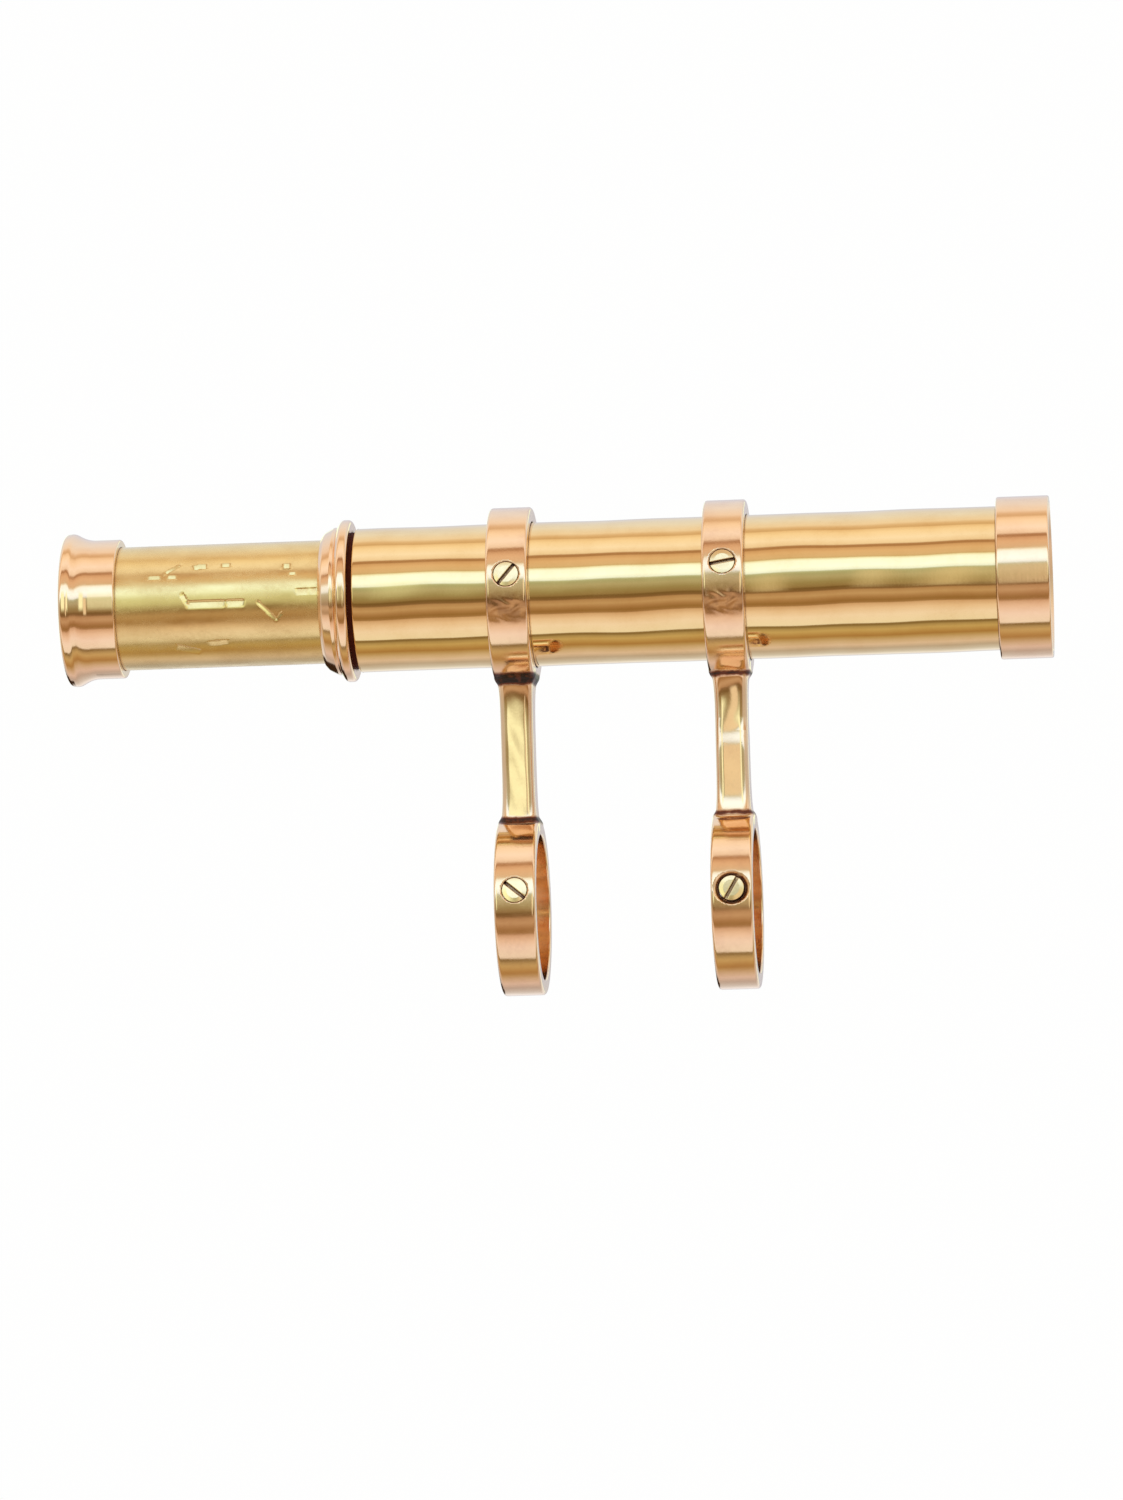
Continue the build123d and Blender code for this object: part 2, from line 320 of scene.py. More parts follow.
# Colours of the painted shade in crevices and of the painted dark reflections in the brackets' joints.
RED_SHADE_AND_REFLECTION = (0.22, 0.055, 0.022, 1)
BLACK_SHADE_AND_REFLECTION = (0.020, 0.008, 0.004, 1)
CASTING_BROWN = (0.38, 0.24, 0.18, 1)
CREVICE_REACH = 0.8 * MM  # how near another surface has to be for the painted shade to darken a place


def brass(name, color, stain, roughness, lathe_lines, wave, grain, marks=None):
    """Polished brass, with painted shade darkening its crevices. lathe_lines, wave and grain are the
    heights, in metres, of the fine rings left by turning, the slow unevenness of hand polishing and the
    fine surface grain. marks(nodes) gives how strongly each place takes a painted dark reflection and
    how strongly it is left unpolished."""
    n = Nodes(name)
    patches = n.noise(6 * MM, detail=4, rough=0.6)
    specks = n.noise(0.5 * MM, detail=3, shift=(3, 1, 2))
    stained = n.maths(
        "MULTIPLY", n.spread(patches, 0.42, 0.72), n.spread(specks, 0.3, 0.7, 0.5, 1.0)
    )
    base = n.mix(n.maths("MULTIPLY", stained, 0.5), (*color, 1), (*stain, 1))
    # Painted shade: ambient occlusion darkens the colour where other surfaces are near, in creases, recesses and
    # gaps between parts.
    occlusion_shade = n.add("ShaderNodeAmbientOcclusion", {"Distance": CREVICE_REACH}, samples=8).outputs["AO"]
    painted_shade_and_reflection = n.spread(occlusion_shade, 0.28, 0.60, 0.85, 0.0)

    smears = n.noise(3 * MM, detail=5, stretch=(3, 1, 1), shift=(7, 0, 4), rough=0.65)
    dull = n.maths("ADD", n.spread(smears, 0.3, 0.75, -0.35, 0.75), n.spread(specks, 0.4, 0.8, 0, 0.3))
    polish = n.add("ShaderNodeMath", {0: dull, 1: roughness, 2: roughness}, operation="MULTIPLY_ADD")

    rings = n.noise(0.5 * MM, detail=2, stretch=(1, 400, 400))
    normal = n.bump(rings, lathe_lines)
    slow = n.noise(9 * MM, detail=1, stretch=(1.6, 1, 1), shift=(2, 5, 1))
    normal = n.bump(slow, wave, normal)
    fine = n.noise(0.35 * MM, detail=3, shift=(5, 5, 5))
    normal = n.bump(fine, grain, normal)

    if marks is not None:
        joint_reflection, unpolished = marks(n)
        painted_shade_and_reflection = n.maths("MAXIMUM", painted_shade_and_reflection, joint_reflection)
        skin_tone = n.noise(1.6 * MM, detail=3, shift=(1, 8, 3), rough=0.55)
        brown = n.spread(skin_tone, 0.40, 0.60, 0.0, 0.5)
        base = n.mix(n.maths("MULTIPLY", unpolished, brown), base, CASTING_BROWN)
    # The painted shade and painted dark reflections turn the brass red-brown, then black, less metallic and
    # rougher.
    base = n.mix(n.spread(painted_shade_and_reflection, 0.0, 0.5), base, RED_SHADE_AND_REFLECTION)
    base = n.mix(n.spread(painted_shade_and_reflection, 0.35, 0.95), base, BLACK_SHADE_AND_REFLECTION)
    rough = n.maths("ADD", polish.outputs[0], n.maths("MULTIPLY", painted_shade_and_reflection, 0.35))
    bare = n.maths("SUBTRACT", 1.0, painted_shade_and_reflection)
    return n.finish(base, rough, normal, Metallic=bare, Specular_IOR_Level=0.3)


def blackened(name, color, worn_color, metallic=0.6, gloss=0.2):
    """Matt dark surface, worn thin in places."""
    n = Nodes(name)
    worn = n.spread(n.noise(1.5 * MM, detail=4), 0.5, 0.8, 0.0, 0.35)
    base = n.mix(worn, (*color, 1), (*worn_color, 1))
    rough = n.spread(n.noise(0.6 * MM, detail=3), 0.3, 0.7, 0.45, 0.65)
    normal = n.bump(n.noise(0.2 * MM, detail=2), 0.01 * MM)
    return n.finish(base, rough, normal, Metallic=metallic, Specular_IOR_Level=gloss)


def optical_glass(name, tint):
    """Clear polished glass with a little dust."""
    n = Nodes(name)
    dust = n.spread(n.noise(0.4 * MM, detail=3), 0.55, 0.8, 0.0, 0.06)
    return n.finish((*tint, 1), dust, Transmission_Weight=1.0, IOR=1.52)


def wire_steel(name):
    """Fine drawn wire with lengthwise marks."""
    n = Nodes(name)
    marks = n.noise(0.05 * MM, detail=2)
    base = n.mix(marks, (0.25, 0.25, 0.26, 1), (0.45, 0.45, 0.46, 1))
    return n.finish(base, n.spread(marks, 0.3, 0.7, 0.25, 0.45), Metallic=1.0)


def pale_floor(name):
    """Plain white surface with very faint mottling."""
    n = Nodes(name)
    mottle = n.noise(0.04, detail=3)
    base = n.mix(mottle, (0.86, 0.855, 0.85, 1), (0.90, 0.895, 0.89, 1))
    return n.finish(base, 0.75)


# Painted dark reflections in the concave joints where the brackets' stems meet their rings: whether on
# the rear bracket, the line's height, half its width, and its strength.
JOINT_DARK_REFLECTION = [
    (True, AXIS_Z - 12.0 * MM, 0.55 * MM, 1.0),
    (True, 13.0 * MM, 0.20 * MM, 0.9),
    (False, AXIS_Z - 12.2 * MM, 0.05 * MM, 0.9),
    (False, 13.1 * MM, 0.05 * MM, 0.7),
]
SKIN_Z = AXIS_Z - 2.3 * MM  # the middle of the casting skin's brown patch
SKIN_HALF, SKIN_FADE = 1.2 * MM, 1.4 * MM


def bracket_marks(n):
    """Painted black and red-brown dark reflections in the four joints between stem and ring, and the rough
    casting skin that polishing left on the upper rings just under the screws."""
    x, y, z = n.add("ShaderNodeSeparateXYZ", {0: n.place}).outputs
    wander = n.noise(2.5 * MM, detail=3, shift=(9, 2, 6))
    rear_side = n.spread(x, -1 * MM, 1 * MM, 1.0, 0.0)
    wavy = n.add("ShaderNodeMath", {0: wander, 1: 0.8 * MM, 2: z}, operation="MULTIPLY_ADD").outputs[0]
    # Painted dark reflections along the joints, wavy and uneven.
    joint_reflection = 0.0
    for on_rear, middle, half, strength in JOINT_DARK_REFLECTION:
        side = rear_side if on_rear else n.maths("SUBTRACT", 1.0, rear_side)
        line = n.within(wavy, middle, half, 0.5 * MM)
        line = n.maths("MULTIPLY", n.maths("MULTIPLY", line, side), strength)
        joint_reflection = n.maths("MAXIMUM", line, joint_reflection)
    uneven = n.spread(n.noise(0.9 * MM, detail=3, shift=(4, 4, 1)), 0.35, 0.55, 0.7, 1.0)
    near_side = n.spread(y, -11.5 * MM, -10.5 * MM, 1.0, 0.0)
    patch = n.within(wavy, SKIN_Z, SKIN_HALF, SKIN_FADE)
    return n.maths("MULTIPLY", joint_reflection, uneven), n.maths("MULTIPLY", patch, near_side)


TUBE_BRASS = brass(
    "tube_brass", (0.91, 0.69, 0.36), (0.78, 0.52, 0.22), 0.045,
    lathe_lines=0.0003 * MM, wave=0.02 * MM, grain=0.0006 * MM,
)  # fmt: skip
DRAW_BRASS = brass(
    "draw_brass", (0.86, 0.66, 0.31), (0.60, 0.39, 0.15), 0.20,
    lathe_lines=0.0006 * MM, wave=0.12 * MM, grain=0.0004 * MM,
)  # fmt: skip
TURNED_BRASS = brass(
    "turned_brass", (0.94, 0.68, 0.43), (0.82, 0.50, 0.29), 0.08,
    lathe_lines=0.0012 * MM, wave=0.02 * MM, grain=0.0010 * MM,
)  # fmt: skip
CAST_BRASS = brass(
    "cast_brass", (0.94, 0.68, 0.43), (0.74, 0.46, 0.30), 0.10,
    lathe_lines=0.0, wave=0.10 * MM, grain=0.0025 * MM, marks=bracket_marks,
)  # fmt: skip
SCREW_BRASS = brass(
    "screw_brass", (0.92, 0.70, 0.40), (0.60, 0.40, 0.20), 0.12,
    lathe_lines=0.0, wave=0.02 * MM, grain=0.0030 * MM,
)  # fmt: skip
BLACK = blackened("blackened_brass", (0.012, 0.011, 0.010), (0.07, 0.05, 0.03))
# Painted shade: a dark, matt, non-metallic surface standing in for the shade in the collar's recessed neck.
NECK_SHADE = blackened(
    "painted_neck_shade", (0.060, 0.010, 0.004), (0.13, 0.028, 0.010), metallic=0.0, gloss=0.03
)
LENS_GLASS = optical_glass("optical_glass", (0.97, 0.99, 0.98))
WIRE = wire_steel("wire")

# ---------------------------------------------------------------- turned pieces of the fixed barrel


def add_piece(piece, node):
    """Puts a new piece in a CAD node's place, on the same body."""
    body = next(body for body, nodes in frame["record"]["behaviour"]["bodies"].items() if node in nodes)
    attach(piece, body)
    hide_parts(node)


EDGE = 0.12 * MM  # the usual rounding of a turned edge
WALL = 0.8 * MM  # of both tubes
FIT_GAP = 0.03 * MM  # round a piece that is screwed or pressed in
SLIDE_GAP = 0.05 * MM  # round a piece that slides
tube_rear, tube_front, _ = span("main_tube")
TUBE_BORE = MAIN_RADIUS - WALL


def hand_polish(x, roll):
    """How far the main tube's outside is polished away, a few hundredths of a millimetre."""
    along = x / (1 * MM)
    swell = np.sin(along / 3.1 + 2 * roll) + 0.8 * np.sin(along / 2.0 - 3 * roll + 1)
    return 0.018 * MM * (swell + np.sin(along / 4.6 + 4 * roll + 2) + 3)


tube_outline = rounded_outline(
    [
        (tube_rear, MAIN_RADIUS, 0.25 * MM),
        (tube_rear, TUBE_BORE, EDGE),
        (tube_front, TUBE_BORE, EDGE),
        (tube_front, MAIN_RADIUS, EDGE),
    ]
)
main_tube = lathe(
    "barrel_tube",
    divided(np.vstack([tube_outline, tube_outline[:1]]), 0.8 * MM)[:-1],
    [TUBE_BRASS, BLACK],
    dents=hand_polish,
)
add_piece(main_tube, "main_tube")

# The collar: a cone up from the draw tube, a groove, the rounded rim, a dark neck, and the spigot.
collar_rear, collar_front, collar_rim = span("draw_collar")
draw_rear, draw_front, DRAW_RADIUS = span("draw_tube")
collar_bore = DRAW_RADIUS + SLIDE_GAP
cone_front = collar_rear + 1.9 * MM
rim_front = tube_rear - 0.65 * MM
neck_radius = MAIN_RADIUS - 0.55 * MM
spigot_radius = TUBE_BORE - FIT_GAP
draw_collar = lathe(
    "draw_collar_turned",
    rounded_outline(
        [
            (collar_rear, collar_bore, 0.1 * MM),
            (collar_front, collar_bore, EDGE),
            (collar_front, spigot_radius, EDGE),
            (tube_rear, spigot_radius, 0.02 * MM),
            (tube_rear, neck_radius, 0.05 * MM),
            (rim_front, neck_radius, 0.05 * MM),
            (rim_front, collar_rim, 0.55 * MM),
            (rim_front - 1.35 * MM, collar_rim, 0.6 * MM),
            (cone_front + 0.35 * MM, collar_rim - 1.15 * MM, 0.3 * MM),
            (cone_front, collar_rim - 1.0 * MM, 0.45 * MM),
            (collar_rear + 0.5 * MM, collar_rim - 1.75 * MM, 1.2 * MM),
            (collar_rear, collar_rim - 2.3 * MM, 0.3 * MM),
        ]
    ),
    [TURNED_BRASS],
)
# The neck between the rim and the main tube is painted dark, as painted shade in its recess.
draw_collar.data.materials.append(NECK_SHADE)
for face in draw_collar.data.polygons:
    on_neck = rim_front - 0.01 * MM < face.center.x < tube_rear + 0.01 * MM
    if on_neck and math.hypot(face.center.y, face.center.z - AXIS_Z) < neck_radius + 0.4 * MM:
        face.material_index = 1
add_piece(draw_collar, "draw_collar")

# The objective cell: a plain head with crisp edges, bevelled inwards to the glass.
HEAD_EDGE = 0.28 * MM
cell_rear, cell_front, cell_radius = span("objective_cell")
cell_aperture = cell_radius - 2.95 * MM
cell_seat = cell_front - 6.2 * MM
pocket_radius = span("objective_crown_lens")[2] + SLIDE_GAP
objective_cell = lathe(
    "objective_cell_turned",
    rounded_outline(
        [
            (cell_rear, cell_aperture, EDGE),
            (cell_seat, cell_aperture, 0.03 * MM),
            (cell_seat, pocket_radius, 0.03 * MM),
            (cell_front - 1.1 * MM, pocket_radius, 0.1 * MM),
            (cell_front, cell_radius - 0.85 * MM, 0.15 * MM),
            (cell_front, cell_radius, HEAD_EDGE),
            (tube_front, cell_radius, HEAD_EDGE),
            (tube_front, spigot_radius, 0.05 * MM),
            (cell_rear, spigot_radius, EDGE),
        ]
    ),
    [TURNED_BRASS, BLACK],
)
add_piece(objective_cell, "objective_cell")

# ---------------------------------------------------------------- turned pieces of the draw tube

DRAW_BORE = DRAW_RADIUS - WALL

# Dings in the thin draw tube. Millimetres along from the tube's rear end, degrees up from its near
# side, then length and width in millimetres, the slope of the pressed facet, and how far the length
# is turned from the tube's axis, in degrees.
DINGS = [
    (16.3, -3, 5.4, 1.25, 0.26, 0),
    (20.6, -3, 2.4, 1.25, 0.27, 0),
    (13.2, 3, 1.6, 0.90, 0.24, -60),
    (25.2, -11, 3.7, 0.60, 0.34, -47),
    (27.0, -16.5, 1.4, 0.50, 0.34, 51),
    (8.8, 24, 1.8, 0.75, 0.20, 4),
    (11.4, 24, 1.3, 0.75, 0.20, 0),
    (11.4, 33, 2.6, 0.60, 0.38, 35),
    (15.4, 35, 2.1, 1.00, 0.42, 4),
    (19.2, 36, 1.4, 0.80, 0.42, 0),
    (28.1, 32, 1.1, 1.00, 0.38, 0),
    (29.0, 23.5, 0.9, 0.60, 0.24, 0),
    (30.5, 6, 1.8, 1.20, 0.14, 0),
    (32.1, 6, 0.9, 1.20, 0.14, 0),
    (13.2, -48, 3.5, 1.20, 0.14, -20),
    (17.8, -41, 2.8, 1.00, 0.12, 4),
]
TURNOVER = 15  # degrees up, above which a ding's facet tilts down instead of up
RAMP_SHARE = 0.8  # of a ding's width is its facet, the rest is its steep step
DING_FADE = 0.35 * MM  # how fast a ding dies out past its ends


def draw_tube_dings(x, roll):
    """How deep the draw tube's outside is pressed in. A ding is a tilted facet that ends in a short
    steep step, at its upper edge low on the tube and at its lower edge higher up."""
    depth = 0 * x * roll
    for along, up, length, width, slope, turned in DINGS:
        ahead = x - draw_rear - along * MM
        swing = (roll - math.radians(up) + math.pi) % (2 * math.pi) - math.pi
        above = swing * DRAW_RADIUS
        cosine, sine = math.cos(math.radians(turned)), math.sin(math.radians(turned))
        beyond = np.maximum(np.abs(ahead * cosine + above * sine) - (length / 2 - 0.3) * MM, 0)
        crosswise = (above * cosine - ahead * sine) * (1 if up < TURNOVER else -1)
        share = crosswise / (width * MM) + 0.5
        profile = np.minimum(share, (1 - share) * RAMP_SHARE / (1 - RAMP_SHARE))
        fade = np.exp(-((beyond / DING_FADE) ** 2))
        depth = depth + slope * width * MM * np.maximum(profile, 0) * fade
    return depth


draw_outline = rounded_outline(
    [
        (draw_rear, DRAW_RADIUS, 0.03 * MM),
        (draw_rear, DRAW_BORE, 0.03 * MM),
        (draw_front, DRAW_BORE, EDGE),
        (draw_front, DRAW_RADIUS, EDGE),
    ]
)
# The outline starts and ends on the outside, so its first row comes again to close it.
draw_outline = np.vstack([draw_outline, draw_outline[:1]])
draw_tube = lathe(
    "draw_tube_thin",
    divided(draw_outline, (0.16) * MM)[:-1],
    [DRAW_BRASS, BLACK],
    around=360,
    dents=draw_tube_dings,
)
add_piece(draw_tube, "draw_tube")

# The eyecup: a dished face round the eye hole, a full rounded lip, a cove and a plain body.
cup_rear, cup_front, cup_lip = span("eyecup")
cup_body = cup_lip - 0.95 * MM
cup_bore = DRAW_RADIUS + FIT_GAP
web_front = cup_rear + 4.1 * MM
eye_hole = 4.0 * MM
eyecup = lathe(
    "eyecup_turned",
    rounded_outline(
        [
            (cup_rear + 2.2 * MM, eye_hole, 0.25 * MM),
            (web_front, eye_hole, 0.05 * MM),
            (web_front, cup_bore, 0.02 * MM),
            (cup_front, cup_bore, 0.05 * MM),
            (cup_front, cup_body, 0.25 * MM),
            (cup_rear + 3.3 * MM, cup_body, 6.0 * MM),
            (cup_rear + 1.4 * MM, cup_lip + 0.1 * MM, 1.4 * MM),
            (cup_rear + 0.2 * MM, cup_lip, 0.7 * MM),
            (cup_rear, cup_lip - 0.9 * MM, 0.4 * MM),
            (cup_rear, cup_lip - 1.5 * MM, 0.15 * MM),
            (cup_rear + 1.2 * MM, cup_lip - 3.4 * MM, 3.0 * MM),
        ]
    ),
    [TURNED_BRASS],
)
add_piece(eyecup, "eyecup")

# ---------------------------------------------------------------- lenses


def lens_profile(rear, front, rear_bulge, front_bulge, radius, bevel=0.08 * MM):
    """From the front apex out over the rim to the rear apex. A bulge is a radius of curvature,
    positive where the face bulges towards the sky, or None where it is flat."""

    def face(apex, bulge, facing):
        rows = []
        for r in np.linspace(0, radius - bevel, 24):
            if bulge is None:
                rows.append([apex, r, facing, 0])
                continue
            curve = abs(bulge)
            depth = math.sqrt(curve**2 - r**2)
            side = math.copysign(1, bulge)
            x = apex - side * (curve - depth)
            rows.append([x, r, facing * depth / curve, facing * side * r / curve])
        return rows

    front_face = face(front, front_bulge, 1)
    rear_face = face(rear, rear_bulge, -1)
    rim = [
        [front_face[-1][0] - bevel, radius, 0, 1],
        [rear_face[-1][0] + bevel, radius, 0, 1],
    ]
    return np.array(front_face + rim + rear_face[::-1])


def add_lens(node, rear_bulge, front_bulge, front=None):
    """A lens in the place of its CAD node; front is its front apex where its box's end isn't."""
    rear, box_front, radius = span(node)
    front = box_front if front is None else front
    profile = lens_profile(rear, front, rear_bulge, front_bulge, radius)
    lens = lathe(node + "_polished", profile, [LENS_GLASS], closed=False)
    add_piece(lens, node)


CROWN_REAR_CURVE = 50 * MM
crown_rear = span("objective_crown_lens")[0]
add_lens("objective_crown_lens", -CROWN_REAR_CURVE, 66 * MM)
add_lens("objective_flint_lens", -190 * MM, -CROWN_REAR_CURVE, front=crown_rear - 0.01 * MM)
add_lens("eye_lens", None, 11.4 * MM)
add_lens("field_lens", -12 * MM, None)

# ---------------------------------------------------------------- brackets

ring_low, ring_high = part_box("rear_bracket")
RING_RADIUS = (ring_high.y - ring_low.y) / 2
RING_BORE = RING_RADIUS - 2.2 * MM
HALF_WIDTH = (ring_high.x - ring_low.x) / 2
SCREW_HOLE = 1.85 * MM
HOLE_START = 2 * MM  # from the ring's middle; a hole runs outwards from there
# The stem's half sizes along and across the finder. Both grow towards the rings by their flares.
STEM_HALF_WIDTH, WIDTH_FLARE = 2.35 * MM, 0.25 * MM
STEM_HALF_DEPTH, UPPER_FLARE, LOWER_FLARE = 3.05 * MM, 0.7 * MM, 0.35 * MM
FLARE_LENGTH = 1.8 * MM
STEM_ROOT = 0.9 * MM  # how far outside the bores the stem's ends are buried
STEM_EDGE = 1.2 * MM
JOINT_FILLET = 0.9 * MM
RING_EDGE, BORE_EDGE = 0.45 * MM, 0.2 * MM


def smooth_least(a, b, blend):
    """The lesser of two distances, with a fillet about as large as blend where they meet."""
    overlap = np.maximum(blend - np.abs(a - b), 0) / blend
    return np.minimum(a, b) - overlap**2 * blend / 4


def rounded_box(u, v, half_u, half_v, rounding):
    """Distance to a rectangle with rounded corners, across two directions."""
    out_u = np.abs(u) - half_u + rounding
    out_v = np.abs(v) - half_v + rounding
    outside = np.hypot(np.maximum(out_u, 0), np.maximum(out_v, 0))
    return outside + np.minimum(np.maximum(out_u, out_v), 0) - rounding


def screw_axis(node):
    """The way a set screw points out of its ring, from its joint."""
    joint = next(joint for joint in frame["joints"] if joint["child"] == node)
    return Vector(joint["axis"]).normalized()


def casting_skin(across, z):
    """Height of the casting's rough skin over the polished ring, never above 0. It is left in one
    patch under each upper screw."""
    patch = np.exp(-(((z - AXIS_Z + 2.9 * MM) / (1.5 * MM)) ** 2) - (across / (2.4 * MM)) ** 4)
    lumps = np.sin(across / (0.47 * MM) + 1.3 * np.sin(z / (0.41 * MM)))
    lumps = lumps * np.sin(z / (0.39 * MM) + 1.2 * np.sin(across / (0.62 * MM) + 1))
    return 0.026 * MM * patch * (lumps - 1)


def bracket_field(middle_x, holes, filing):
    """Distance field of one casting. holes are its screw holes, each the height of its ring's middle,
    its direction and the radius of its mouth. filing(across, z) is how much prouder hand filing has
    left the stem's faces."""

    def field(x, y, z):
        across = x - middle_x
        solid = None
        bore_depth = None
        for center_z in (0.0, AXIS_Z):
            reach = np.hypot(y, z - center_z)
            if center_z > 0:
                reach = reach - np.where(y < 0, casting_skin(across, z), 0)
            middle = (RING_RADIUS + RING_BORE) / 2
            rounding = np.where(reach > middle, RING_EDGE, BORE_EDGE)
            wall = RING_RADIUS - RING_BORE
            ring = rounded_box(across, reach - middle, HALF_WIDTH, wall / 2, rounding)
            solid = ring if solid is None else np.minimum(solid, ring)
            inside_bore = RING_BORE - reach
            bore_depth = inside_bore if bore_depth is None else np.maximum(bore_depth, inside_bore)
        near_ring = np.minimum(z, AXIS_Z - z) - RING_RADIUS
        flare = np.exp(-np.maximum(near_ring, 0) / FLARE_LENGTH)
        depth_flare = np.where(z > AXIS_Z / 2, UPPER_FLARE, LOWER_FLARE)
        half_width = STEM_HALF_WIDTH + WIDTH_FLARE * flare
        half_depth = STEM_HALF_DEPTH + depth_flare * flare + filing(across, z)
        stem = rounded_box(across, y, half_width, half_depth, STEM_EDGE)
        ends = np.abs(z - AXIS_Z / 2) - (AXIS_Z / 2 - RING_BORE - STEM_ROOT)
        stem = np.maximum(stem, ends)
        solid = smooth_least(solid, stem, JOINT_FILLET)
        solid = np.maximum(solid, bore_depth)
        for center_z, out, rim in holes:
            along = y * out.y + (z - center_z) * out.z
            aside = np.hypot(across, y * out.z - (z - center_z) * out.y)
            mouth_depth = RING_RADIUS - (rim - SCREW_HOLE)
            hole = aside - SCREW_HOLE - np.maximum(along - mouth_depth, 0)
            hole = np.maximum(hole, HOLE_START - along)
            solid = np.maximum(solid, -hole)
        return solid

    return field


def rear_filing(across, z):
    """The rear stem's faces lean to the rear and are a little lumpy."""
    lumps = np.sin(z / (1.1 * MM) + 2 * np.sin(across / (1.3 * MM))) * np.cos(across / (1.0 * MM) + 0.5)
    sway = 0.035 * np.sin(z / (2.3 * MM))
    return (0.10 + sway) * across - 0.012 * across**2 / MM + 0.022 * MM * lumps


def front_filing(across, z):
    """The front stem's faces are crowned and thinner at the top, then step out to a flat lower half
    that swells again at its foot."""
    crowned = np.clip((z - 24.6 * MM) / (2 * MM), 0, 1)
    step = -0.24 * MM * np.tanh((z - 23.6 * MM) / (1.5 * MM))
    foot = 0.40 * MM * np.exp(-np.abs(z - RING_RADIUS) / (2.4 * MM))
    sway = 0.035 * np.sin(z / (1.5 * MM) + 0.8)
    lumps = np.sin(z / (1.2 * MM) + np.sin(across / (1.2 * MM)))
    crown = 0.044 * crowned * across**2 / MM
    return (sway * crowned - 0.052) * across - crown + step + foot + 0.010 * MM * lumps


HOLE_RIM = 2.1 * MM  # radius of a screw hole's bevelled mouth
WIDE_HOLE_RIM = 2.7 * MM
BRACKET_CELL = 0.175 * MM
for end, lower_rim, filing in (
    ("rear", HOLE_RIM, rear_filing),
    ("front", WIDE_HOLE_RIM, front_filing),
):
    node = end + "_bracket"
    low, high = (np.array(corner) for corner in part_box(node))
    holes = [
        (0.0, screw_axis(end + "_lower_screw"), lower_rim),
        (AXIS_Z, screw_axis(end + "_upper_screw"), HOLE_RIM),
    ]
    field = bracket_field((low[0] + high[0]) / 2, holes, filing)
    margin = 2.5 * BRACKET_CELL
    bracket = skin(node + "_cast", field, low - margin, high + margin, BRACKET_CELL, [CAST_BRASS])
    add_piece(bracket, node)

# ---------------------------------------------------------------- set screws

SCREW_RADIUS = 1.8 * MM
SLOT_WIDTH, SLOT_DEPTH = 0.45 * MM, 0.6 * MM
CROWN_CURVE = 14 * MM  # radius of the screw's slightly domed face
SCREW_SUNK = 0.2 * MM  # below the ring's outside
SCREW_CELL = 0.07 * MM


def screw_field(length, slot_angle):
    """Distance field of a headless set screw along +Z, its face at 0, worn a little at its edges."""

    def field(x, y, z):
        reach = np.hypot(x, y)
        body = rounded_box(reach, z + length / 2, SCREW_RADIUS, length / 2, 0.16 * MM)
        crown = z - 0.05 * MM + reach**2 / (2 * CROWN_CURVE)
        body = np.maximum(body, crown)
        across_slot = -x * math.sin(slot_angle) + y * math.cos(slot_angle)
        slot = rounded_box(across_slot, z, SLOT_WIDTH / 2, SLOT_DEPTH, 0.05 * MM)
        return -smooth_least(-body, slot, 0.12 * MM)

    return field


def add_screw(node, center_z, slot_degrees):
    low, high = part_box(node)
    middle_x = (low.x + high.x) / 2
    out = screw_axis(node)
    face = RING_RADIUS - SCREW_SUNK
    tip = RING_BORE + 0.01 * MM
    margin = 0.2 * MM
    reach = np.array([SCREW_RADIUS + margin] * 2)
    screw = skin(
        node + "_slotted",
        screw_field(face - tip, math.radians(slot_degrees)),
        np.array([*-reach, tip - face - margin]),
        np.array([*reach, margin]),
        SCREW_CELL,
        [SCREW_BRASS],
    )
    side = Vector((1, 0, 0))
    turn = Matrix((side, out.cross(side), out)).transposed().to_4x4()
    place = Vector((middle_x, 0, center_z)) + out * face
    screw.data.transform(Matrix.Translation(place) @ turn)
    add_piece(screw, node)


add_screw("rear_upper_screw", AXIS_Z, 50)
add_screw("front_upper_screw", AXIS_Z, 10)
add_screw("rear_lower_screw", 0.0, -40)
add_screw("front_lower_screw", 0.0, 60)

# ---------------------------------------------------------------- materials of the CAD nodes that stay

node_materials = {
    "glare_stop": BLACK,
    "objective_retaining_ring": BLACK,
    "draw_stop_ring": TURNED_BRASS,
    "eyepiece_cell": TURNED_BRASS,
    "eye_lens_ring": BLACK,
    "lens_spacer": BLACK,
    "field_lens_ring": BLACK,
    "reticle_ring": BLACK,
    "cross_wires": WIRE,
}
for node, material in node_materials.items():
    mesh = frame["nodes"][node].data
    mesh.materials.clear()
    mesh.materials.append(material)

# ---------------------------------------------------------------- floor, light and camera

FLOOR_Z = -0.31
FLOOR_RADIUS = 2.5


def make_floor():
    """A pale round floor, far below, where the host's tripod would stand."""
    mesh = bpy.data.meshes.new("floor")
    rim = [
        (FLOOR_RADIUS * math.cos(t), FLOOR_RADIUS * math.sin(t), FLOOR_Z)
        for t in np.linspace(0, 2 * math.pi, 96, endpoint=False)
    ]
    mesh.from_pydata(rim, [], [tuple(range(len(rim)))])
    mesh.materials.append(pale_floor("floor_white"))
    floor = bpy.data.objects.new("floor", mesh)
    bpy.context.scene.collection.objects.link(floor)
    floor.visible_glossy = False


